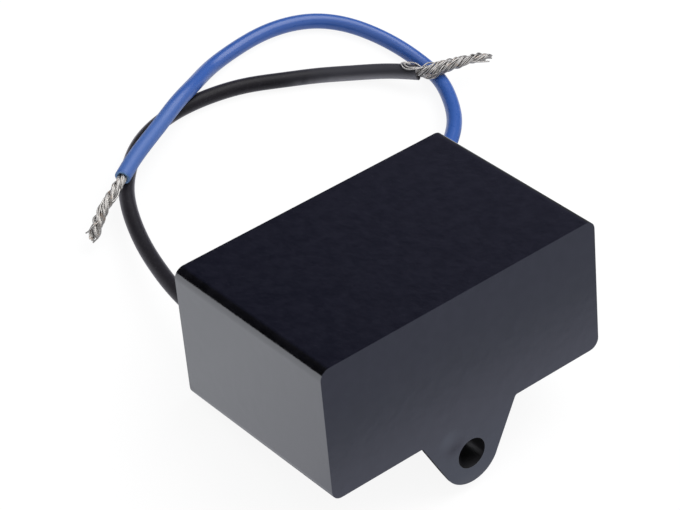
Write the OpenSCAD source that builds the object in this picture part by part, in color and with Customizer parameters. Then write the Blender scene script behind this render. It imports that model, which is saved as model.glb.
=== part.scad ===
// Film motor capacitor in a moulded box case with one mounting ear and two flexible leads.
// The sub-parts are drawn in the case's moulding frame: x along the case's length, y towards
// the ear, z from the closed end to the open rim, with the case centred on the z axis.
// resting() then lays the part on the table, on its ear's tip and its rim's lower edge.

/* [Case] */
// Length of the case, end to end
case_length = 48.5; // [42:0.5:70]
// Depth of the case, closed end to open rim
case_depth = 32; // [26:0.5:45]
// Height of the case without its ear
case_height = 22; // [16:0.5:34]
// Thickness of the four side walls
wall = 1.6; // [1:0.1:2.4]
// Thickness of the closed end
end_wall = 2; // [1.2:0.1:3]
// Radius of the four long outer edges
edge_r = 1.6; // [0.6:0.1:3]
// Radius of the cavity's four long corners
cavity_r = 0.9; // [0.5:0.1:2]

/* [Ear] */
// Width of the ear where it meets the case
ear_root = 17; // [13:0.5:24]
// Drop of the screw hole's centre below the case
ear_drop = 5.6; // [4:0.1:9]
// Radius of the ear's round tip
ear_tip_r = 5; // [3.5:0.1:6]
// Thickness of the ear
ear_t = 4; // [2.5:0.1:6]
// Diameter of the screw hole
ear_hole_d = 4.8; // [3.2:0.1:5.5]
// Fillet where the ear's flanks meet the case
ear_fillet_r = 0.6; // [0.2:0.1:1.2]
// Angle by which the ear's flanks draw in towards the rim
ear_draft = 10; // [2:1:12]
// Straight height of the ear's flanks before they draw in
ear_land = 0.3; // [0.1:0.1:1]

/* [Resin] */
// Depth of the resin's face below the rim
resin_recess = 2; // [0.5:0.1:4]
// Rise of the resin's face up each lead
creep = 0.6; // [0.2:0.1:0.8]
// Thickness of the resin's rise at its top, round a lead
creep_lip = 0.1; // [0.05:0.05:0.15]
// Resin between the winding and the case
winding_gap = 0.8; // [0.4:0.1:1.5]
// Resin over the winding, towards the rim
winding_cover = 3.2; // [2:0.1:6]

/* [Winding ends] */
// Thickness of the zinc sprayed on each end of the winding
spray_t = 0.5; // [0.3:0.1:0.8]
// Radius of the solder dome on each sprayed end
solder_r = 2.2; // [1.8:0.1:2.6]
// Thickness of the solder under a lead's bare core
solder_film = 0.2; // [0.1:0.05:0.4]
// Reach of the bare core past the middle of its solder
core_reach = 1; // [0.4:0.1:1.2]

/* [Leads] */
// Outer diameter of a lead's insulation
lead_d = 2.4; // [1.8:0.1:2.8]
// Diameter of a lead's stranded core
core_d = 1.2; // [0.8:0.1:1.4]
// Clear space between a lead and the case's end wall
lead_gap = 2; // [1:0.1:3]
// Distance of the insulation's inner end from the winding
lead_clear = 0.6; // [0.3:0.1:1]
// Straight run of a lead out of the resin before its route turns
lead_straight = 5; // [3:0.5:6]

/* [Bare ends] */
// Diameter of one strand
strand_d = 0.2; // [0.16:0.01:0.22]
// Length in which the twisted bundles make one turn
strand_lay = 5.5; // [4:0.5:9]
// Radius on which the bundles' centres lie at the insulation
bundle_r = 0.5; // [0.49:0.01:0.56]
// Radius on which the strands' centres lie in their bundle
bundle_strand_r = 0.23; // [0.23:0.01:0.24]
// Spread of the strands at the frayed tip, against the insulation's end
fray = 1.3; // [1.1:0.1:1.8]
// Difference in length between the longest and the shortest strand
fray_length = 1.2; // [0:0.1:2]

/* [Hidden] */
$fn = 96;

// Sides of the swept leads and strands, and rings along one strand
lead_sides = 8;
strand_sides = 6;
rings_per_strand = 17;
bundles = 4;
bundle_strands = 6;
strands = bundles * bundle_strands;

// Straight steps round the fillet at the ear's root, and how far the ear's faces run into those they blend with
fillet_steps = 6;
blend_depth = 0.02;

// The ear's flank: its foot on the case, the middle of the round tip, where it runs into the tip, and its slope
ear_foot = [ear_root / 2, case_height / 2];
ear_middle = [0, ear_foot[1] + ear_drop];
touch_r = ear_tip_r - blend_depth;
touch_turn = atan2(-ear_drop, ear_foot[0]) + acos(touch_r / norm(ear_foot - ear_middle));
flank_touch = ear_middle + touch_r * [cos(touch_turn), sin(touch_turn)];
flank_slope = atan2(flank_touch[1] - ear_foot[1], flank_touch[0] - ear_foot[0]);

// Step between neighbours in the strands' order of length, and how late along the end they spread
fray_step = 7;
fray_power = 1.5;

// Share of a bare end's length in which it keeps to its lead's way
bare_keep = 0.2;

// The case at rest: its lean, and the place of the moulding frame's origin over the table
ear_reach = ear_drop + ear_tip_r;
lean = atan2(ear_reach, case_depth - ear_t);
rest_y = (ear_reach * sin(lean) - case_depth * cos(lean)) / 2;
rest_z = case_depth * sin(lean) + case_height / 2 * cos(lean);

// The cavity, and what fills it from the closed end to the resin's face
cavity_length = case_length - 2 * wall;
cavity_height = case_height - 2 * wall;
resin_z = case_depth - resin_recess;
lead_x = cavity_length / 2 - lead_gap - lead_d / 2;
winding_low = end_wall + winding_gap;
winding_high = resin_z - winding_cover;
winding_depth = winding_high - winding_low;
winding_height = cavity_height - 2 * winding_gap;
spray_x = lead_x - core_d / 2 - solder_film;
winding_x = spray_x - spray_t;
solder_z = (winding_low + winding_high) / 2;
lead_set_z = winding_high + lead_clear;

// The way a lead leaves the resin
out = [0, cos(lean), -sin(lean)];
// Routes of the leads from their straight run to the end of their insulation: x and y as laid out
// for leads route_x from the middle, y from the resin's face, and heights in lead diameters
route_x = 19.5;
black_route = [
    [-18.9, 10.5, 2.5], [-17.85, 15.5, 1.85], [-16.7, 20, 1.4], [-15, 25, 1.03], [-12.6, 30, 0.75],
    [-9, 34.5, 0.4], [-4.5, 38, 0.25], [0.5, 40, 0.1], [6, 40.8, 0], [11.5, 40.5, 0], [17, 39.4, 0], [22.5, 37.4, 0],
    [28, 35.2, 0], [33, 32.6, 0.1], [37.5, 29.6, 0.4], [40.6, 26.6, 0.75]];
blue_route = [
    [20.5, 7.5, 2.8], [23, 9.6, 2.4], [26.5, 10.3, 2.1], [30, 10.5, 1.8], [33.2, 11.3, 1.5], [36, 13, 1.25],
    [39.5, 16.3, 0.85], [42, 20.2, 0.5], [43.5, 24.2, 0.25], [43.7, 28.5, 0.05], [42.8, 33, 0], [41, 37.4, 0],
    [38.5, 41.2, 0], [35, 44.2, 0], [30.5, 46, 0], [25.5, 46.6, 0], [20, 46.2, 0], [14.5, 45, 0.15],
    [9, 42.5, 0.8], [4, 40.3, 1.2], [-0.3, 38.3, 1.25], [-4.7, 36.2, 1.4], [-8.7, 34.2, 1.5],
    [-12.1, 32.2, 1.6]];
// Where the bare ends point from there: two guide points of a smooth curve, the last one the tip
black_bare = [[47.6, 23.8, 1.75], [52.5, 22.4, 1.1]];
blue_bare = [[-18.9, 29.1, 1.3], [-21.4, 26.3, 0.5]];

// A place in the moulding frame, once the part rests on the table
function rested(p) = [p[0],
                      rest_y + p[2] * cos(lean) - p[1] * sin(lean),
                      rest_z - p[2] * sin(lean) - p[1] * cos(lean)];

function unit(v) = v / norm(v);
function last(v) = v[len(v) - 1];

// A place on a lead's route, once the part rests on the table
function laid(p) = [p[0] * lead_x / route_x, rested([0, 0, resin_z])[1] + p[1], lead_d * (p[2] + 0.5)];

// The whole centre line of a lead: its inner end, the resin's face, its straight run and its route
function lead_line(side, route) =
    let (exit = rested([side * lead_x, 0, resin_z]))
    concat([rested([side * lead_x, 0, lead_set_z]), exit],
           [for (part = [0.5, 1]) exit + out * lead_straight * part],
           [for (p = route) laid(p)]);

// Axes across a sweep that runs along t, for sweeps that never stand upright
function sweep_axes(t) = let (side = unit(cross([0, 0, 1], t))) [side, cross(t, side)];

// One ring of a swept tube
function ring(centre, t, r, sides) =
    let (axes = sweep_axes(t))
    [for (k = [0:sides - 1]) centre + r * (cos(360 * k / sides) * axes[0] + sin(360 * k / sides) * axes[1])];

// The way a line of points runs at its point i
function heading(line, i) = unit(line[min(i + 1, len(line) - 1)] - line[max(i - 1, 0)]);

// A cubic curve through four guide points, and the way it runs
function between(a, b, u) = a + (b - a) * u;
function arc(a, b, c, u) = between(between(a, b, u), between(b, c, u), u);
function curve(g, u) = between(arc(g[0], g[1], g[2], u), arc(g[1], g[2], g[3], u), u);
function curve_way(g, u) = unit(arc(g[1], g[2], g[3], u) - arc(g[0], g[1], g[2], u));

// Guide points of a bare end: it leaves along its lead and bends towards the tip
function bare_guide(line, bare) =
    let (end = last(line), way = heading(line, len(line) - 1))
    [end, end + way * norm(laid(bare[1]) - end) * bare_keep, laid(bare[0]), laid(bare[1])];

// Lays the moulding frame on the table
module resting() {
    translate([0, rest_y, rest_z]) rotate([-90 - lean, 0, 0]) children();
}

// Closed tubes, each through its own list of rings, all of one number of sides and rings
module tubes(sweeps) {
    rings = len(sweeps[0]);
    sides = len(sweeps[0][0]);
    size = rings * sides;
    walls = [for (n = [0:len(sweeps) - 1], i = [0:rings - 2], k = [0:sides - 1])
        let (a = n * size + i * sides + k, b = n * size + i * sides + (k + 1) % sides)
        each [[a, b + sides, b], [a, a + sides, b + sides]]];
    feet = [for (n = [0:len(sweeps) - 1]) [for (k = [0:sides - 1]) n * size + k]];
    heads = [for (n = [1:len(sweeps)]) [for (k = [1:sides]) n * size - k]];
    polyhedron(points = [for (sweep = sweeps, r = sweep) each r], faces = concat(walls, feet, heads));
}

// Rectangle with round corners, centred
module round_rectangle(length, height, r) {
    square([length - 2 * r, height], center = true);
    square([length, height - 2 * r], center = true);
    for (x = [-1, 1], y = [-1, 1])
        translate([x * (length / 2 - r), y * (height / 2 - r)]) circle(r);
}

module cavity_outline() {
    round_rectangle(cavity_length, cavity_height, cavity_r);
}

// Outline of the ear: straight flanks from inside the case's wall into the round tip
module ear_outline() {
    flank = [[ear_foot[0], ear_foot[1] - wall / 2], ear_foot, flank_touch];
    polygon(concat(flank, [for (k = [len(flank) - 1:-1:0]) [-flank[k][0], flank[k][1]]]));
    translate(ear_middle) circle(ear_tip_r);
}

// Space beside one flank of the ear, tilted so that the flank draws in above its land
module flank_cut() {
    translate([ear_foot[0], ear_foot[1], ear_land]) rotate([-ear_draft, 0, flank_slope])
        translate([-ear_root, -ear_root, -ear_t]) cube([3 * ear_root, ear_root, 3 * ear_t]);
}

// Fillet along the corner between one drafted flank and the case
module flank_fillet() {
    half = flank_slope / 2;
    centre = (ear_fillet_r / sin(half) - 2 * blend_depth) * [cos(half), sin(half)];
    hollow = [for (k = [0:fillet_steps])
        let (turn = -90 + (flank_slope - 180) * k / fillet_steps)
        centre + ear_fillet_r * [cos(turn), sin(turn)]];
    corner_tilt = atan(tan(ear_draft) / sin(flank_slope));
    intersection() {
        translate([ear_foot[0], ear_foot[1], ear_land]) rotate([0, -corner_tilt, 0]) translate([0, 0, -ear_t])
            linear_extrude(3 * ear_t) polygon(concat([[-wall / 2, -wall / 2], [centre[0], -wall / 2]], hollow));
        cube([case_length, case_height, ear_t]);
    }
}

// Mounting ear with its flanks drafted and filleted
module ear() {
    difference() {
        linear_extrude(ear_t) ear_outline();
        for (side = [0, 1])
            mirror([side, 0, 0]) flank_cut();
    }
    for (side = [0, 1])
        mirror([side, 0, 0]) flank_fillet();
}

// Resin's rise round one lead, with the lead's own place still filled
module lead_creep() {
    cylinder(r1 = lead_d / 2 + creep, r2 = lead_d / 2 + creep_lip, h = creep);
}

// Flattened roll's section, height across and depth along
module roll_section(height, depth) {
    r = min(height, depth) / 2;
    square(height < depth ? [height, depth - height] : [height - depth, depth], center = true);
    for (end = [-1, 1])
        translate(end * [height / 2 - r, depth / 2 - r]) circle(r);
}

// Slice of the flattened roll between two places along the case's length
module roll_slice(from, to) {
    translate([from, 0, (winding_low + winding_high) / 2])
        rotate([90, 0, 90]) linear_extrude(to - from) roll_section(winding_height, winding_depth);
}

// Lead's bare inner core, from its insulation into its solder
module core_rod(side) {
    translate([side * lead_x, 0, solder_z - core_reach])
        cylinder(d = core_d, h = lead_set_z - solder_z + core_reach);
}

// Dome of the solder on one sprayed end, with the core's own place still filled
module dome(side) {
    translate([side * spray_x, 0, solder_z]) intersection() {
        sphere(solder_r);
        translate([side > 0 ? 0 : -2 * solder_r, -2 * solder_r, -2 * solder_r])
            cube([2 * solder_r, 4 * solder_r, 4 * solder_r]);
    }
}

// Solder on one sprayed end, round the bare core
module solder(side) {
    difference() {
        dome(side);
        core_rod(side);
    }
}

// Zinc layer on one end of the winding
module spray_layer(side) {
    roll_slice(side > 0 ? winding_x : -spray_x, side > 0 ? spray_x : -winding_x);
}

// Insulation of a lead, from inside the resin to where it is stripped
module lead_tube(line) {
    tubes([[for (i = [0:len(line) - 1]) ring(line[i], heading(line, i), lead_d / 2, lead_sides)]]);
}

// How short strand s of bundle b is cut, from 0 for the longest to 1, in a scattered order
function fray_order(b, s) = fray_step * (b * bundle_strands + s) % strands / (strands - 1);

// Rings along strand s of bundle b on a bare end
function strand_rings(guide, b, s) =
    let (length = norm(guide[3] - guide[0]),
         cut = 1 - fray_order(b, s) * fray_length / length)
    [for (i = [0:rings_per_strand - 1])
        let (u = cut * i / (rings_per_strand - 1),
             way = curve_way(guide, u),
             axes = sweep_axes(way),
             spread = 1 + (fray - 1) * pow(u, fray_power),
             turn = 360 * b / bundles - 360 * length * u / strand_lay,
             own = turn + 360 * s / bundle_strands,
             centre = curve(guide, u)
                 + spread * bundle_r * (cos(turn) * axes[0] + sin(turn) * axes[1])
                 + spread * bundle_strand_r * (cos(own) * axes[0] + sin(own) * axes[1]))
        ring(centre, way, strand_d / 2, strand_sides)];

// Bare twisted end of a lead: strands in bundles that wind round each other and fray at the tip
module bare_strands(guide) {
    tubes([for (b = [0:bundles - 1], s = [0:bundle_strands - 1]) strand_rings(guide, b, s)]);
}

black_line = lead_line(-1, black_route);
blue_line = lead_line(1, blue_route);

// Moulded box, open at its rim, with the mounting ear flush with its closed end
module case() {
    color("#26272b") resting() difference() {
        union() {
            linear_extrude(case_depth) round_rectangle(case_length, case_height, edge_r);
            ear();
        }
        translate([0, 0, end_wall])
            linear_extrude(case_depth) cavity_outline();
        translate([ear_middle[0], ear_middle[1], -ear_t])
            cylinder(d = ear_hole_d, h = 3 * ear_t);
    }
}

// Potting resin round the winding, drawn up a little at the leads
module resin() {
    color("#1b1b1d") difference() {
        resting() difference() {
            union() {
                translate([0, 0, end_wall]) linear_extrude(resin_z - end_wall) cavity_outline();
                for (side = [-1, 1])
                    translate([side * lead_x, 0, resin_z]) lead_creep();
            }
            roll_slice(-spray_x, spray_x);
            for (side = [-1, 1]) {
                dome(side);
                core_rod(side);
            }
        }
        lead_tube(black_line);
        lead_tube(blue_line);
    }
}

// Flattened roll of metallised film
module winding() {
    color("#c9ccd1") resting() roll_slice(-winding_x, winding_x);
}

module black_spray() {
    color("#8f9296") resting() spray_layer(-1);
}

module blue_spray() {
    color("#8f9296") resting() spray_layer(1);
}

module black_solder() {
    color("#b9bcc0") resting() solder(-1);
}

module blue_solder() {
    color("#b9bcc0") resting() solder(1);
}

module black_core() {
    color("#d0cdc6") resting() core_rod(-1);
}

module blue_core() {
    color("#d0cdc6") resting() core_rod(1);
}

module black_lead() {
    color("#202024") lead_tube(black_line);
}

module blue_lead() {
    color("#3c5fae") lead_tube(blue_line);
}

module black_strands() {
    color("#d0cdc6") bare_strands(bare_guide(black_line, black_bare));
}

module blue_strands() {
    color("#d0cdc6") bare_strands(bare_guide(blue_line, blue_bare));
}

case();
resin();
winding();
black_spray();
blue_spray();
black_solder();
blue_solder();
black_core();
blue_core();
black_lead();
blue_lead();
black_strands();
blue_strands();
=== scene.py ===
"""Looks of a potted film motor start capacitor: a black box case with a screw ear, and two flexible leads."""

import math

import bpy
import numpy as np
from mathutils import Matrix, Vector


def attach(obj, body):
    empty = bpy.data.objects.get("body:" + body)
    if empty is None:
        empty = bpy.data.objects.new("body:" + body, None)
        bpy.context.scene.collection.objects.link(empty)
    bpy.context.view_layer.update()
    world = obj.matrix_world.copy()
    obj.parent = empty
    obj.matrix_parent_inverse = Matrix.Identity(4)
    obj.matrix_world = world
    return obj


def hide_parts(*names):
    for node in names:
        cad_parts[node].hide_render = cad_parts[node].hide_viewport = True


MM = 0.001
TURN = 2 * math.pi

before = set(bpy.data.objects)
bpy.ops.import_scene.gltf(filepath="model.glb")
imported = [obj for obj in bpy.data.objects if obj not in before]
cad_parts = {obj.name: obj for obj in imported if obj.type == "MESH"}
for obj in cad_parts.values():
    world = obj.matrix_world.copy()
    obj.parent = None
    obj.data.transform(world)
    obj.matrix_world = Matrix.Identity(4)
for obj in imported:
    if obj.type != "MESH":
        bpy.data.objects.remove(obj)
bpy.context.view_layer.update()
scene = bpy.context.scene
scene.view_settings.view_transform = "Standard"


# Camera, where the photograph was taken from

CAMERA_AT = Vector((-194.63, -154.81, 334.45)) * MM
CAMERA_HEADING = math.radians(49.21)  # from +Y towards +X
CAMERA_ELEVATION = math.radians(51.11)
CAMERA_ROLL = math.radians(13.71)
CAMERA_LENS = 153.94
CAMERA_SENSOR = 36
CAMERA_NEAR, CAMERA_FAR = 0.01, 10


def add_camera():
    data = bpy.data.cameras.new("camera")
    data.sensor_width = CAMERA_SENSOR
    data.lens = CAMERA_LENS
    data.clip_start, data.clip_end = CAMERA_NEAR, CAMERA_FAR
    camera = bpy.data.objects.new("camera", data)
    scene.collection.objects.link(camera)
    turn = (
        Matrix.Rotation(-CAMERA_HEADING, 4, "Z")
        @ Matrix.Rotation(math.pi / 2 - CAMERA_ELEVATION, 4, "X")
        @ Matrix.Rotation(CAMERA_ROLL, 4, "Z")
    )
    camera.matrix_world = Matrix.Translation(CAMERA_AT) @ turn
    scene.camera = camera


add_camera()


# Leads: the routes of the part's source, in millimetres until a mesh is made

LEAN = math.radians(20.7352)  # of the case, which lies on its ear's tip and its rim
OUT = np.array([0, math.cos(LEAN), -math.sin(LEAN)])  # out of the case's open end
LEAD_D = 2.4
LEAD_R = LEAD_D / 2
LEAD_X = 19.45
LEAD_SET = 2.6  # from the insulation's inner end to the resin's face
LEAD_STRAIGHT = 5  # how far a lead runs straight out of the resin
LEAD_STEP = 0.7
EXIT_Y, EXIT_Z = 14.9696, 10.9957  # where the leads leave the resin
ROUTE_X = 19.5  # the place of the exits when the routes were drawn
# Points of each route: across from the middle, back from the exits, and up from the table in lead diameters
BLACK_ROUTE = [
    (-18.9, 10.5, 2.5), (-17.85, 15.5, 1.85), (-16.7, 20, 1.4), (-15, 25, 1.03),
    (-12.6, 30, 0.75), (-9, 34.5, 0.4), (-4.5, 38, 0.25), (0.5, 40, 0.1),
    (6, 40.8, 0), (11.5, 40.5, 0), (17, 39.4, 0), (22.5, 37.4, 0),
    (28, 35.2, 0), (33, 32.6, 0.1), (37.5, 29.6, 0.4), (40.6, 26.6, 0.75),
]
BLUE_ROUTE = [
    (20.5, 7.5, 2.8), (23, 9.6, 2.4), (26.5, 10.3, 2.1), (30, 10.5, 1.8),
    (33.2, 11.3, 1.5), (36, 13, 1.25), (39.5, 16.3, 0.85), (42, 20.2, 0.5),
    (43.5, 24.2, 0.25), (43.7, 28.5, 0.05), (42.8, 33, 0), (41, 37.4, 0),
    (38.5, 41.2, 0), (35, 44.2, 0), (30.5, 46, 0), (25.5, 46.6, 0),
    (20, 46.2, 0), (14.5, 45, 0.15), (9, 42.5, 0.8), (4, 40.3, 1.2),
    (-0.3, 38.3, 1.25), (-4.7, 36.2, 1.4), (-8.7, 34.2, 1.5), (-12.1, 32.2, 1.6),
]
BLACK_BARE = [(47.6, 23.8, 1.75), (52.5, 22.4, 1.1)]
BLUE_BARE = [(-18.9, 29.1, 1.3), (-21.4, 26.3, 0.5)]
BARE_KEEP = 0.2  # share of a bare end's length in which it keeps to its lead's way


def laid(point):
    """A point of a route, laid on the table."""
    x, y, height = point
    return np.array([x * LEAD_X / ROUTE_X, EXIT_Y + y, LEAD_D * (height + 0.5)])


def exit_point(side):
    return np.array([side * LEAD_X, EXIT_Y, EXIT_Z])


def unit(v):
    return v / np.linalg.norm(v, axis=-1, keepdims=True)


def travelled(path):
    """How far along the path each of its points lies."""
    return np.concatenate([[0], np.cumsum(np.linalg.norm(np.diff(path, axis=0), axis=1))])


def smooth_line(points, step):
    """A smooth curve through the points, with about one point every step."""
    points = np.array(points, float)
    t = travelled(points)
    n = len(t)
    h = np.diff(t)[:, None]
    slope = np.diff(points, axis=0) / h
    system = np.eye(n)
    load = np.zeros((n, 3))
    for i in range(1, n - 1):
        system[i, i - 1 : i + 2] = h[i - 1, 0], 2 * (h[i - 1, 0] + h[i, 0]), h[i, 0]
        load[i] = 6 * (slope[i] - slope[i - 1])
    bend = np.linalg.solve(system, load)
    at = np.linspace(0, t[-1], int(t[-1] / step) + 1)
    i = np.clip(np.searchsorted(t, at, side="right") - 1, 0, n - 2)
    a = ((t[i + 1] - at) / h[i, 0])[:, None]
    b = 1 - a
    return (
        a * points[i] + b * points[i + 1]
        + ((a**3 - a) * bend[i] + (b**3 - b) * bend[i + 1]) * h[i] ** 2 / 6
    )


def cross_axes(path):
    """The path's way at each of its points, and two axes across it: level to its left, and upwards."""
    way = unit(np.gradient(path, axis=0))
    left = unit(np.cross([0, 0, 1], way))
    return way, left, np.cross(way, left)


SHARP = math.radians(50)  # edges that turn by more stay sharp


class Skin:
    """Points and faces of one mesh, gathered piece by piece, with a number on each point per attribute."""

    def __init__(self, *attributes):
        self.points, self.faces = [], []
        self.attributes = {name: [] for name in attributes}

    def rings(self, rings, **values):
        """Closed rings of equal size, joined to their neighbours, with both ends closed."""
        first = len(self.points)
        sides = len(rings[0])
        for i, ring in enumerate(rings):
            self.points.extend(ring)
            for name, store in self.attributes.items():
                store.extend([float(values[name][i])] * sides)
        for i in range(len(rings) - 1):
            for k in range(sides):
                a, b = first + i * sides + k, first + i * sides + (k + 1) % sides
                self.faces.append((a, b, b + sides, a + sides))
        self.faces.append(tuple(range(first + sides - 1, first - 1, -1)))
        last = first + (len(rings) - 1) * sides
        self.faces.append(tuple(range(last, last + sides)))

    def piece(self, name, material, sharp=SHARP):
        """The mesh as one smooth-shaded piece on the part's only body."""
        mesh = bpy.data.meshes.new(name)
        mesh.from_pydata([tuple(p) for p in np.array(self.points) * MM], [], self.faces)
        for attribute, store in self.attributes.items():
            mesh.attributes.new(attribute, "FLOAT", "POINT").data.foreach_set("value", store)
        mesh.materials.append(material)
        mesh.shade_smooth()
        mesh.set_sharp_from_angle(angle=sharp)
        piece = bpy.data.objects.new(name, mesh)
        scene.collection.objects.link(piece)
        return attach(piece, "root")


def ring_round(centre, left, up, r, sides):
    turn = np.linspace(0, TURN, sides, endpoint=False)[:, None]
    return centre + r * (np.cos(turn) * left + np.sin(turn) * up)


# Finishes

MIX_COLOUR_A, MIX_COLOUR_B, MIX_COLOUR_OUT = 6, 7, 2  # a Mix node's colour sockets, by place


class Wire:
    """A socket of a shader's tree. Arithmetic on it adds Math nodes, and node() adds any other node."""

    def __init__(self, tree, socket=None):
        self.tree, self.socket = tree, socket

    def node(self, kind, sockets=None, output=0, **settings):
        made = self.tree.nodes.new("ShaderNode" + kind)
        for name, value in settings.items():
            if name == "stops":
                ramp = made.color_ramp.elements
                while len(ramp) < len(value):
                    ramp.new(0)
                for stop, (place, colour) in zip(ramp, value):
                    stop.position, stop.color = place, (*colour, 1)
            else:
                setattr(made, name, value)
        for name, value in (sockets or {}).items():
            if isinstance(value, Wire):
                self.tree.links.new(value.socket, made.inputs[name])
            else:
                made.inputs[name].default_value = value
        return Wire(self.tree, made.outputs[output])

    def math(self, operation, first, second):
        return self.node("Math", {0: first, 1: second}, operation=operation)

    def __add__(self, other):
        return self.math("ADD", self, other)

    __radd__ = __add__

    def __mul__(self, other):
        return self.math("MULTIPLY", self, other)

    __rmul__ = __mul__

    def __sub__(self, other):
        return self.math("SUBTRACT", self, other)

    def __rsub__(self, other):
        return self.math("SUBTRACT", other, self)

    def between(self, low, high):
        """This value's place between low and high, eased, from 0 to 1."""
        return self.node(
            "MapRange",
            {"Value": self, "From Min": low, "From Max": high},
            interpolation_type="SMOOTHSTEP",
        )


def mix(wire, share, first, second):
    """A colour between two others."""
    return wire.node(
        "Mix",
        {"Factor": share, MIX_COLOUR_A: first, MIX_COLOUR_B: second},
        output=MIX_COLOUR_OUT,
        data_type="RGBA",
    )


def rgb(*colour):
    return (*colour, 1)


class Finish:
    """A material in the making: its Principled shader, and millimetre coordinates on the part."""

    def __init__(self, name, **constants):
        self.material = bpy.data.materials.new(name)
        self.material.use_nodes = True
        self.tree = self.material.node_tree
        self.shader = self.tree.nodes["Principled BSDF"]
        self.start = Wire(self.tree)
        for socket, value in constants.items():
            self.shader.inputs[socket.replace("_", " ")].default_value = value
        place = self.start.node("TexCoord", output="Object")
        self.place = self.start.node("VectorMath", {0: place, "Scale": 1 / MM}, operation="SCALE")

    def noise(self, per_mm, detail=2, roughness=0.5, place=None):
        return self.start.node(
            "TexNoise",
            {"Vector": place or self.place, "Scale": per_mm, "Detail": detail, "Roughness": roughness},
        )

    def attribute(self, name):
        return self.start.node("Attribute", output="Fac", attribute_name=name)

    def feed(self, **wires):
        for socket, wire in wires.items():
            self.tree.links.new(wire.socket, self.shader.inputs[socket.replace("_", " ")])

    def bump(self, height, depth_mm, strength=1.0):
        self.feed(
            Normal=self.start.node(
                "Bump", {"Height": height, "Distance": depth_mm * MM, "Strength": strength}
            )
        )


CASE_IOR = 2.2
CASE_DEEP, CASE_PALE = rgb(0.0002, 0.0002, 0.0008), rgb(0.0045, 0.0045, 0.0070)
CASE_DULL = 0.09  # roughness, to which grain, clouds and the bore add
GRAIN_DULL, CLOUD_DULL, BORE_DULL = 0.06, 0.05, 0.26
GRAIN_DEPTH = 0.003
WAVE_DEPTH = 0.03
SINK_AT = (-3.3, -17.7, 9.4)  # beside the ear's hole
SINK_REACH = 2.6
SINK_DEPTH = 0.17
HOLE_AT = (0, -17.09, 5.38)  # middle of the ear's hole
HOLE_EDGE = (2.42, 2.48)  # from the bore's wall to the ear's face round it


def moulded_plastic():
    """Black moulded plastic: fine grain, slow waves, a sink mark beside the hole, and a duller bore."""
    f = Finish("case_plastic", IOR=CASE_IOR)
    grain = f.noise(per_mm=5, detail=3, roughness=0.7)
    wave = f.noise(per_mm=0.6, detail=3, roughness=0.6)
    cloud = f.noise(per_mm=0.12, detail=2)
    tone = wave.between(0.3, 0.7) * 0.8 + cloud * 0.2
    away = f.start.node("VectorMath", {0: f.place, 1: SINK_AT}, output="Value", operation="DISTANCE")
    aside = f.start.node("VectorMath", {0: f.place, 1: HOLE_AT}, operation="SUBTRACT")
    aside = f.start.node("VectorMath", {0: aside, 1: tuple(OUT)}, operation="CROSS_PRODUCT")
    from_axis = f.start.node("VectorMath", {0: aside}, output="Value", operation="LENGTH")
    bore = 1 - from_axis.between(*HOLE_EDGE)
    f.feed(
        Base_Color=mix(f.start, tone, CASE_DEEP, CASE_PALE),
        Roughness=CASE_DULL + grain * GRAIN_DULL + cloud * CLOUD_DULL + bore * BORE_DULL,
    )
    sink = away.between(0, SINK_REACH)
    f.bump(grain * GRAIN_DEPTH + wave * WAVE_DEPTH + sink * SINK_DEPTH, depth_mm=1.0)
    return f.material


RESIN_DEEP, RESIN_PALE = rgb(0.004, 0.004, 0.005), rgb(0.010, 0.010, 0.011)


def potting():
    """Poured black resin, glossy, with slow waves and faint dust."""
    f = Finish("potting_resin", IOR=1.55)
    wave = f.noise(per_mm=0.18, detail=1)
    dust = f.noise(per_mm=3, detail=3)
    f.feed(Base_Color=mix(f.start, dust, RESIN_DEEP, RESIN_PALE), Roughness=0.08 + dust * 0.12)
    f.bump(wave, depth_mm=0.25, strength=0.7)
    return f.material


GRIP_AT = (14, 26)  # millimetres from the cut end over which the worn stretch fades out
GRIP_BLUR = 6
PAINTED_LIT_SIDE = 0.56  # share of the way round a lead at which its side is painted lightest, as painted light
PAINTED_LIT_REACH = (0.2, 1.15)  # cosines from that side at which the painted light starts, and would be full
STREAK_DRAW = 0.05  # scale of the extruded lines' noise along the lead
SPECKS = (0.58, 0.72)  # noise values over which specks come up
SHEEN_SPREAD = 0.36
SHEEN_TINT = rgb(0.95, 0.90, 1.0)


def insulation(name, deep, pale, cut, worn, painted_lit_side, dull, ior, dust=0):
    """Extruded wire insulation: faint lines along it, specks and a cut end.

    It is worn where it was gripped to strip it, and there one side is painted lighter, as painted light."""
    f = Finish(name, IOR=ior, Sheen_Weight=dust, Sheen_Roughness=SHEEN_SPREAD, Sheen_Tint=SHEEN_TINT)
    along, around = f.attribute("along"), f.attribute("around")
    lines = f.start.node("CombineXYZ", {"X": along * STREAK_DRAW, "Y": around})
    streak = f.noise(per_mm=14, detail=2, place=lines)
    cloud = f.noise(per_mm=0.7, detail=2)
    gripped = 1 - (along + cloud * GRIP_BLUR).between(*GRIP_AT)
    speck = f.noise(per_mm=3.5, detail=1).between(*SPECKS)
    body = mix(f.start, streak * 0.5 + cloud * 0.5, deep, pale)
    body = mix(f.start, f.start.math("MAXIMUM", gripped, speck * 0.4), body, worn)
    # painted light: the worn stretch is painted lighter on one side round the lead
    painted_lit_share = f.attribute("jaw_side").between(*PAINTED_LIT_REACH)
    body = mix(f.start, painted_lit_share * painted_lit_share * gripped, body, painted_lit_side)
    f.feed(
        Base_Color=mix(f.start, f.attribute("cut"), body, cut),
        Roughness=dull + streak * 0.1 + gripped * 0.2 + f.attribute("cut") * 0.2,
    )
    f.bump(streak + cloud * 0.6, depth_mm=0.006, strength=0.5)
    return f.material


THIN_TIN = rgb(0.52, 0.44, 0.38)  # where the copper shows through


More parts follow.
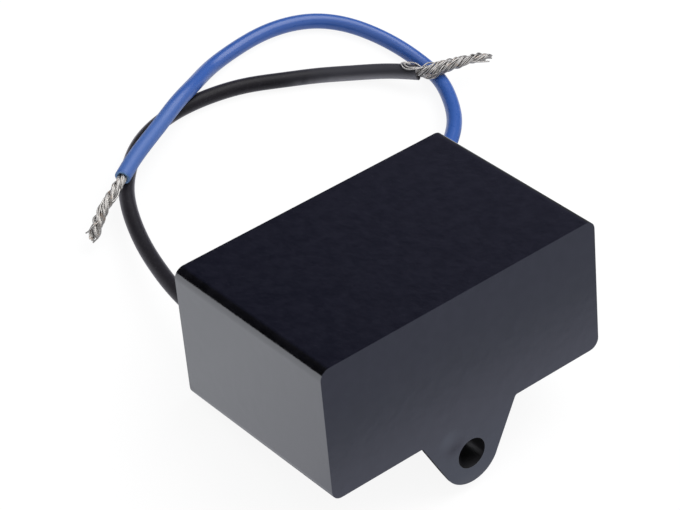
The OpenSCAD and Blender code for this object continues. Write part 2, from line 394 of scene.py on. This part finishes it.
def tinned(name, dark, light):
    """Tinned copper strands, with duller patches where the tin is thin."""
    f = Finish(name, Metallic=1.0)
    patch = f.noise(per_mm=1.3, detail=3)
    fine = f.noise(per_mm=12, detail=2)
    worn = patch.between(0.56, 0.72)
    bright = mix(f.start, fine, dark, light)
    f.feed(Base_Color=mix(f.start, worn, bright, THIN_TIN), Roughness=0.42 + fine * 0.16)
    f.bump(fine, depth_mm=0.006, strength=0.5)
    return f.material


SOLDER_DARK, SOLDER_LIGHT = rgb(0.40, 0.40, 0.41), rgb(0.62, 0.62, 0.63)


def soldered():
    """Solder with the uneven skin of a hand-made joint."""
    f = Finish("solder", Metallic=1.0)
    skin = f.noise(per_mm=2.5, detail=3)
    f.feed(Base_Color=mix(f.start, skin, SOLDER_DARK, SOLDER_LIGHT), Roughness=0.25 + skin * 0.2)
    f.bump(skin, depth_mm=0.03, strength=0.5)
    return f.material


ZINC_DARK, ZINC_LIGHT = rgb(0.22, 0.23, 0.24), rgb(0.40, 0.41, 0.42)


def sprayed():
    """Sprayed zinc, gritty and dull."""
    f = Finish("sprayed_zinc", Metallic=0.8)
    grit = f.noise(per_mm=7, detail=4, roughness=0.7)
    f.feed(Base_Color=mix(f.start, grit, ZINC_DARK, ZINC_LIGHT), Roughness=0.6 + grit * 0.25)
    f.bump(grit, depth_mm=0.06, strength=0.8)
    return f.material


FILM_DARK, FILM_LIGHT = rgb(0.52, 0.53, 0.55), rgb(0.68, 0.69, 0.71)


def wound_film():
    """Metallised film seen on the roll's outside: faint lines where its turns end."""
    f = Finish("metallised_film", Metallic=0.9)
    turns = f.start.node("SeparateXYZ", {"Vector": f.place}, output="X")
    line = f.noise(per_mm=9, detail=1, place=f.start.node("CombineXYZ", {"X": turns}))
    cloud = f.noise(per_mm=0.3, detail=2)
    f.feed(Base_Color=mix(f.start, cloud, FILM_DARK, FILM_LIGHT), Roughness=0.28 + line * 0.12)
    f.bump(line, depth_mm=0.01, strength=0.4)
    return f.material


BLACK_INSULATION = insulation(
    "black_insulation",
    deep=rgb(0.004, 0.0034, 0.0052),
    pale=rgb(0.0095, 0.0082, 0.012),
    cut=rgb(0.008, 0.008, 0.009),
    worn=rgb(0.029, 0.029, 0.036),
    # painted light on one side of the worn stretch
    painted_lit_side=rgb(0.27, 0.27, 0.295),
    dull=0.4,
    ior=1.27,
    dust=0.6,
)
BLUE_INSULATION = insulation(
    "blue_insulation",
    deep=rgb(0.025, 0.085, 0.33),
    pale=rgb(0.038, 0.109, 0.38),
    cut=rgb(0.16, 0.30, 0.56),
    worn=rgb(0.050, 0.125, 0.385),
    # painted light on one side of the worn stretch, faint
    painted_lit_side=rgb(0.058, 0.135, 0.39),
    dull=0.24,
    ior=1.5,
)
TINNED = tinned("tinned_copper", dark=rgb(0.41, 0.40, 0.38), light=rgb(0.60, 0.58, 0.56))
DULL_TINNED = tinned("dull_tinned_copper", dark=rgb(0.37, 0.36, 0.35), light=rgb(0.52, 0.505, 0.49))


# Insulation of the leads

LEAD_SIDES = 28
LEAD_SHARP = math.radians(60)
BORE_R = 0.8
BORE_DEPTH = 1.4
CUT_EDGE = 0.06
# Rings that close the cut end: radius, and how far behind the cut
CUT_RINGS = [
    (LEAD_R - CUT_EDGE, -CUT_EDGE), (BORE_R + CUT_EDGE, -CUT_EDGE), (BORE_R, 0), (BORE_R, BORE_DEPTH),
]


def lead_points(side, route):
    straight = [exit_point(side) + OUT * s for s in (-LEAD_SET, 0, LEAD_STRAIGHT / 2, LEAD_STRAIGHT)]
    return straight + [laid(p) for p in route]


def make_lead(colour, side, route, material, slant):
    """A lead's insulation, cut at its far end and open round the strands. slant draws the cut out below."""
    path = smooth_line(lead_points(side, route), LEAD_STEP)
    way, left, up = cross_axes(path)
    covered = travelled(path)
    rings = [ring_round(p, a, b, LEAD_R, LEAD_SIDES) for p, a, b in zip(path, left, up)]
    along, cut = list(covered[-1] - covered), [0] * len(path)
    end, end_way = path[-1], way[-1]
    for r, back in CUT_RINGS:
        rings.append(ring_round(end - end_way * back, left[-1], up[-1], r, LEAD_SIDES))
        along.append(0)
        cut.append(1)
    for ring in rings[-len(CUT_RINGS) - 1 : -1]:
        ring -= slant * ((ring - end) @ up[-1])[:, None] * end_way
    skin = Skin("along", "cut")
    skin.rings(rings, along=along, cut=cut)
    around = [k / LEAD_SIDES for _ in rings for k in range(LEAD_SIDES)]
    skin.attributes["around"] = around
    # cosine from the side of the lead on which light is painted
    skin.attributes["jaw_side"] = [math.cos(TURN * (a - PAINTED_LIT_SIDE)) for a in around]
    lead = skin.piece(colour + "_insulation", material, LEAD_SHARP)
    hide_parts(colour + "_lead")
    return lead, path


black_insulation, black_path = make_lead("black", -1, BLACK_ROUTE, BLACK_INSULATION, slant=0.35)
blue_insulation, blue_path = make_lead("blue", 1, BLUE_ROUTE, BLUE_INSULATION, slant=0)


# Bare ends: bundles of strands that wind round each other

STRAND_R = 0.12
STRAND_SIDES = 8
STRAND_STEP = 0.14
GUIDE_POINTS = 200
GUIDE_POINTS_INSIDE = 20
BUNDLES = 4
BUNDLE_STRANDS = 6
BUNDLE_RING = 0.2  # radius on which a bundle's strands lie round its middle one
BUNDLE_SLIP = 0.05  # how far a bundle's place in the twist may be off, in turns
BUNDLE_WIND = (0.2, 0.5)  # turns of a bundle's own strands for each turn of the twist
WIND_SLIP = 0.1
LUMP = 0.15  # how much a bundle's distance from the middle swells and shrinks
LUMP_EVERY = (2.2, 3.4)
WANDER_EVERY = (2.5, 6)
WANDER_FROM = (0.3, 2)  # millimetres from the cut end over which strands begin to stray
FORK_FROM = 0.8  # share of the bare end's length at which its bundles begin to part
CORE_STRANDS = 3
CORE_RING = 0.14
LOOSE_REACH = (2.2, 4.5)  # how long a strand stays out of the twist
LOOSE_WIND = (0.3, 0.9)  # its turns for each turn of the twist
LOOSE_SEAT = 0.85  # share of the twist's radius at which loose strands leave it and come back
ANY_PHASE = (0, 6)


def guide_curve(path, bare):
    """Points along the middle of a bare end, from inside the insulation to the tip."""
    end, way = path[-1], unit(path[-1] - path[-3])
    tip = laid(bare[1])
    g = [end, end + way * np.linalg.norm(tip - end) * BARE_KEEP, laid(bare[0]), tip]
    u = np.linspace(0, 1, GUIDE_POINTS)[:, None]
    curve = (
        (1 - u) ** 3 * g[0] + 3 * u * (1 - u) ** 2 * g[1] + 3 * u**2 * (1 - u) * g[2] + u**3 * g[3]
    )
    behind = np.linspace(-BORE_DEPTH, 0, GUIDE_POINTS_INSIDE, endpoint=False)[:, None]
    return np.concatenate([end + way * behind, curve])


def from_cut(middle):
    """How far each point of a bare end's middle lies outside the insulation."""
    return travelled(middle) - BORE_DEPTH


def resampled(path, step):
    s = travelled(path)
    at = np.linspace(0, s[-1], max(4, int(s[-1] / step) + 1))
    return np.stack([np.interp(at, s, path[:, k]) for k in range(3)], axis=1)


def add_strand(skin, path):
    path = resampled(path, STRAND_STEP)
    _, left, up = cross_axes(path)
    skin.rings([ring_round(p, a, b, STRAND_R, STRAND_SIDES) for p, a, b in zip(path, left, up)])


def eased(x, low, high):
    t = np.clip((x - low) / (high - low), 0, 1)
    return t * t * (3 - 2 * t)


def twisted_end(skin, middle, lay, girth, seed, fork, cut_back, mess):
    """All strands of one bare end that keep to its twist.

    girth pairs shares of the length with the radius there, fork is how far the bundles part at the tip,
    cut_back by how much strands may be shorter, and mess how much they stray from an even twist."""
    random = np.random.default_rng(seed)
    _, left, up = cross_axes(middle)
    s = from_cut(middle)
    whole = s[-1]
    u = np.clip(s / whole, 0, 1)
    half = np.interp(u, *zip(*girth)) - STRAND_R
    for b in range(BUNDLES):
        phase = TURN * (b / BUNDLES + random.uniform(-BUNDLE_SLIP, BUNDLE_SLIP))
        lump = 1 + LUMP * np.sin(TURN * s / random.uniform(*LUMP_EVERY) + random.uniform(*ANY_PHASE))
        turn = phase - TURN * s / lay
        part = fork * (1 if b % 2 else -1) * eased(u, FORK_FROM, 1)
        radius = (half - BUNDLE_RING) * lump
        wind = random.uniform(*BUNDLE_WIND)
        aside, above = radius * np.cos(turn) + part, radius * np.sin(turn)
        centre = middle + aside[:, None] * left + above[:, None] * up
        for k in range(BUNDLE_STRANDS):
            own_wind = wind + random.uniform(-WIND_SLIP, WIND_SLIP)
            own = phase + TURN * (k / (BUNDLE_STRANDS - 1) - s / lay * own_wind)
            wander = mess * np.sin(
                TURN * s / random.uniform(*WANDER_EVERY) + random.uniform(*ANY_PHASE)
            )
            r = (BUNDLE_RING if k else 0) * (1 + wander * eased(s, *WANDER_FROM))
            strand = centre + (r * np.cos(own))[:, None] * left + (r * np.sin(own))[:, None] * up
            add_strand(skin, strand[: np.searchsorted(s, whole - random.uniform(0, cut_back))])
    for k in range(CORE_STRANDS):
        turn = TURN * (k / CORE_STRANDS - s / lay)
        strand = middle + CORE_RING * (np.cos(turn)[:, None] * left + np.sin(turn)[:, None] * up)
        add_strand(skin, strand[: np.searchsorted(s, whole - cut_back)])


def loose_strands(skin, middle, lay, girth, seed, count, start_at, bow):
    """Single strands that bow out of the twist and come back to it.

    start_at and bow are ranges: where along the end they leave the twist, and how far they bow out."""
    random = np.random.default_rng(seed)
    _, left, up = cross_axes(middle)
    s = from_cut(middle)
    half = np.interp(np.clip(s / s[-1], 0, 1), *zip(*girth)) - STRAND_R
    for _ in range(count):
        start, reach = random.uniform(*start_at), random.uniform(*LOOSE_REACH)
        part = np.clip((s - start) / reach, 0, 1)
        turn = random.uniform(0, TURN) - TURN * part * reach / lay * random.uniform(*LOOSE_WIND)
        r = half * LOOSE_SEAT + random.uniform(*bow) * np.sin(math.pi * part)
        strand = middle + (r * np.cos(turn))[:, None] * left + (r * np.sin(turn))[:, None] * up
        add_strand(skin, strand[(part > 0) & (part < 1)])


def stray(middle, points):
    """A stray strand through points given along the bare end, to its left and upwards."""
    _, left, up = cross_axes(middle)
    s = from_cut(middle)
    last = len(s) - 1
    placed = []
    for along, aside, above in points:
        i = min(np.searchsorted(s, along), last)
        way = unit(middle[min(i + 1, last)] - middle[max(i - 1, 0)])
        placed.append(middle[i] + way * (along - s[i]) + aside * left[i] + above * up[i])
    return smooth_line(placed, STRAND_STEP)


def make_bare_end(colour, path, bare, material, lay, girth, twist, loose, strays):
    """A lead's bare end, with its twist, its sets of loose strands and its strays."""
    middle = guide_curve(path, bare)
    skin = Skin()
    twisted_end(skin, middle, lay, girth, **twist)
    for strands in loose:
        loose_strands(skin, middle, lay, girth, **strands)
    for points in strays:
        add_strand(skin, stray(middle, points))
    end = skin.piece(colour + "_bare_end", material)
    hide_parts(colour + "_strands")
    return end


blue_bare_end = make_bare_end(
    "blue",
    blue_path,
    BLUE_BARE,
    TINNED,
    lay=6.6,
    girth=[(0, 0.72), (0.2, 0.78), (0.6, 0.8), (0.82, 0.85), (1, 0.62)],
    twist=dict(seed=4, fork=0.15, cut_back=1.6, mess=0.4),
    loose=[dict(seed=21, count=6, start_at=(0.6, 9), bow=(0.15, 0.4))],
    strays=[
        [(8.6, 0.2, 0.7), (9.6, -0.5, 0.8), (10.3, -0.9, 0.6), (10.5, -1.2, 0.4)],
        [(8.2, 0.5, 0.4), (9.8, 0.7, 0.3), (11.0, 0.5, 0)],
        [(2.4, 0.7, 0.5), (3.6, 1.0, 0.4), (4.9, 0.8, 0.6)],
    ],
)
# Its first two strays are the loops that lie back over the insulation
black_bare_end = make_bare_end(
    "black",
    black_path,
    BLACK_BARE,
    DULL_TINNED,
    lay=5.5,
    girth=[(0, 0.76), (0.12, 0.94), (0.35, 0.86), (0.65, 0.76), (0.85, 0.66), (1, 0.42)],
    twist=dict(seed=11, fork=0.0, cut_back=2.2, mess=0.6),
    loose=[
        dict(seed=8, count=14, start_at=(0.6, 10), bow=(0.15, 0.4)),
        dict(seed=3, count=14, start_at=(-0.1, 2.4), bow=(0.2, 0.6)),
    ],
    strays=[
        [
            (0.6, 0.5, 0.7), (-0.6, 1.05, 0.95), (-1.8, 1.0, 1.0), (-2.5, 0.3, 1.4),
            (-1.9, -0.55, 1.35), (-0.8, -0.65, 1.3), (0.2, -0.3, 1.2), (0.9, 0.1, 0.95),
        ],
        [
            (0.7, 0.3, 0.8), (-0.4, 0.75, 1.2), (-1.5, 0.7, 1.25), (-2.0, 0.2, 1.45),
            (-1.5, -0.3, 1.42), (-0.5, -0.35, 1.4), (0.6, 0, 1.0),
        ],
        [(8.5, -0.5, 0.1), (10.2, -0.75, -0.1), (11.8, -0.85, -0.1)],
        [(0.8, -0.7, 0.2), (2.2, -0.95, 0.1), (3.6, -0.8, 0.3), (5, -0.4, 0.6)],
    ],
)

for lead, path, side, bare_end in (
    (black_insulation, black_path, -1, black_bare_end),
    (blue_insulation, blue_path, 1, blue_bare_end),
):
    exit_point(side) * MM
    path * MM


# Finishes of the solids that stay as they are

SOLID_FINISHES = {
    ("case",): moulded_plastic(),
    ("resin",): potting(),
    ("winding",): wound_film(),
    ("black_spray", "blue_spray"): sprayed(),
    ("black_solder", "blue_solder"): soldered(),
    ("black_core", "blue_core"): TINNED,
}
for nodes, finish in SOLID_FINISHES.items():
    for node in nodes:
        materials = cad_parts[node].data.materials
        materials.clear()
        materials.append(finish)


# Floor, world and lamp

FLOOR_HALF = 3.0
FLOOR_LIT = rgb(0.8, 0.8, 0.8)  # what other surfaces get from the table
FLOOR_SOFT = rgb(0.11, 0.11, 0.11)  # takes the shadow where the table is seen
FLOOR_WHITE = rgb(1, 1, 1)
FLOOR_STRENGTH = 0.90
# Painted reflection: what glossy surfaces see of the table, darker in front, from 80 mm before the part's
# middle to 20 mm behind it
TABLE_PER_METRE, TABLE_START = 10, 0.8
TABLE_TONES = [
    (0.05, (0.26, 0.274, 0.366)), (0.2, (0.286, 0.305, 0.388)), (0.36, (0.42, 0.435, 0.55)),
    (0.53, (0.46, 0.50, 0.63)), (0.74, (0.85, 0.865, 0.945)), (0.95, (0.97, 0.995, 1.07)),
]
# painted shade that glossy surfaces see under the case and to its right
TABLE_SHADED = rgb(0.02, 0.02, 0.02)
BLACK = rgb(0, 0, 0)
# Borders of the painted shade on the mirrored table, under the case, to its right and to its left: ranges of
# X or Y, in metres, over which they fade
UNDER_LEFT, UNDER_RIGHT = (-0.026, -0.021), (0.02, 0.03)
UNDER_FRONT, UNDER_BACK = (-0.022, -0.018), (0.018, 0.024)
RIGHT_NEAR, RIGHT_FAR = (0.026, 0.036), (0.05, 0.07)
RIGHT_FRONT = (-0.03, -0.01)
RIGHT_SHADE = 0.9
LEFT_NEAR = (-0.075, -0.045)
LEFT_SHADE = 0.04
CASE_BACK = (0.024, 0.034)  # behind it, the leads lie


def add_floor():
    """White table: lit for the bounce, and a clean white with a light shadow where it is seen. Glossy rays
    see a painted reflection, darker in front, with painted shade under the case and beside it.
    """
    mesh = bpy.data.meshes.new("floor")
    corners = [(x * FLOOR_HALF, y * FLOOR_HALF, 0) for x, y in ((-1, -1), (1, -1), (1, 1), (-1, 1))]
    mesh.from_pydata(corners, [], [(0, 1, 2, 3)])
    floor = bpy.data.objects.new("floor", mesh)
    scene.collection.objects.link(floor)
    material = bpy.data.materials.new("white_table")
    material.use_nodes = True
    tree = material.node_tree
    start = Wire(tree)
    straight = start.node("LightPath", output="Is Camera Ray")
    glossy = start.node("LightPath", output="Is Glossy Ray")
    clear = start.node("LightPath", output="Is Transmission Ray")
    place = start.node("TexCoord", output="Object")
    x = start.node("SeparateXYZ", {"Vector": place}, output="X")
    y = start.node("SeparateXYZ", {"Vector": place}, output="Y")
    # painted shadow under the case and painted shade beside it, seen only in reflections
    under = x.between(*UNDER_LEFT) * (1 - x.between(*UNDER_RIGHT)) * y.between(*UNDER_FRONT)
    before_leads = 1 - y.between(*CASE_BACK)
    right = start.math("MAXIMUM", x.between(*RIGHT_NEAR) * before_leads, x.between(*RIGHT_FAR))
    right = right * y.between(*RIGHT_FRONT) * RIGHT_SHADE
    shaded = start.math("MAXIMUM", under * (1 - y.between(*UNDER_BACK)), right)
    lit = start.node("BsdfDiffuse", {"Color": FLOOR_LIT})
    soft = start.node("BsdfDiffuse", {"Color": FLOOR_SOFT})
    white = start.node("Emission", {"Color": FLOOR_WHITE, "Strength": FLOOR_STRENGTH})
    seen = start.node("AddShader", {0: soft, 1: white})
    table = start.node("ValToRGB", {"Fac": y * TABLE_PER_METRE + TABLE_START}, stops=TABLE_TONES)
    table = mix(start, x.between(*LEFT_NEAR) * before_leads * LEFT_SHADE, table, BLACK)
    table = mix(start, shaded, table, TABLE_SHADED)
    # the painted reflection that glossy and transmission rays see
    mirrored = start.node("Emission", {"Color": table, "Strength": 1.0})
    shown = start.node("MixShader", {0: straight, 1: lit, 2: seen})
    shown = start.node("MixShader", {0: start.math("MAXIMUM", glossy, clear), 1: shown, 2: mirrored})
    tree.links.new(shown.socket, tree.nodes["Material Output"].inputs["Surface"])
    mesh.materials.append(material)


SKY_RIGHT = (0.80, 0.60, 0.0)
SKY_DARK = rgb(0.010, 0.010, 0.011)
SKY_DIM = rgb(0.033, 0.035, 0.069)
SKY_GLOW = rgb(0.094, 0.095, 0.150)
SKY_LOW_FRONT = rgb(0.75, 0.75, 0.77)
SKY_HIGH_FRONT = rgb(0.6, 0.6, 0.61)
SKY_HIGH_BACK = rgb(1.2, 1.2, 1.22)
# Borders of the sky's parts: cosines from SKY_RIGHT, and then Y and Z of the way looked in
DIM_FROM, GLOW_FROM = (0.55, 0.82), (0.84, 0.92)
LOW_BACK_FROM, HIGH_BACK_FROM = (-0.3, 0.1), (-0.6, 0.6)
HIGH_FROM = (0.54, 0.80)


def add_world():
    """Studio: a broad soft light above, brightest behind.

    Below it the sky is light in front, and dim behind with a faint glow at the right."""
    world = bpy.data.worlds.new("studio")
    scene.world = world
    world.use_nodes = True
    tree = world.node_tree
    start = Wire(tree)
    way = start.node("TexCoord", output="Generated")
    right = start.node("VectorMath", {0: way, 1: SKY_RIGHT}, output="Value", operation="DOT_PRODUCT")
    back = start.node("SeparateXYZ", {"Vector": way}, output="Y")
    height = start.node("SeparateXYZ", {"Vector": way}, output="Z")
    dim = mix(start, right.between(*DIM_FROM), SKY_DARK, SKY_DIM)
    glow = mix(start, right.between(*GLOW_FROM), dim, SKY_GLOW)
    low = mix(start, back.between(*LOW_BACK_FROM), SKY_LOW_FRONT, glow)
    high = mix(start, back.between(*HIGH_BACK_FROM), SKY_HIGH_FRONT, SKY_HIGH_BACK)
    sky = mix(start, height.between(*HIGH_FROM), low, high)
    background = tree.nodes["Background"]
    tree.links.new(sky.socket, background.inputs["Color"])
    background.inputs["Strength"].default_value = 1.0


def add_lamp(name, at, aim, size, watts):
    data = bpy.data.lights.new(name, "AREA")
    data.shape = "DISK"
    data.size = size
    data.energy = watts
    lamp = bpy.data.objects.new(name, data)
    lamp.location = at
    lamp.rotation_euler = (Vector(aim) - Vector(at)).to_track_quat("-Z", "Y").to_euler()
    scene.collection.objects.link(lamp)


add_floor()
add_world()
add_lamp("right_key", at=(0.5, 0.14, 0.86), aim=(0, 0.02, 0), size=1.0, watts=7.5)
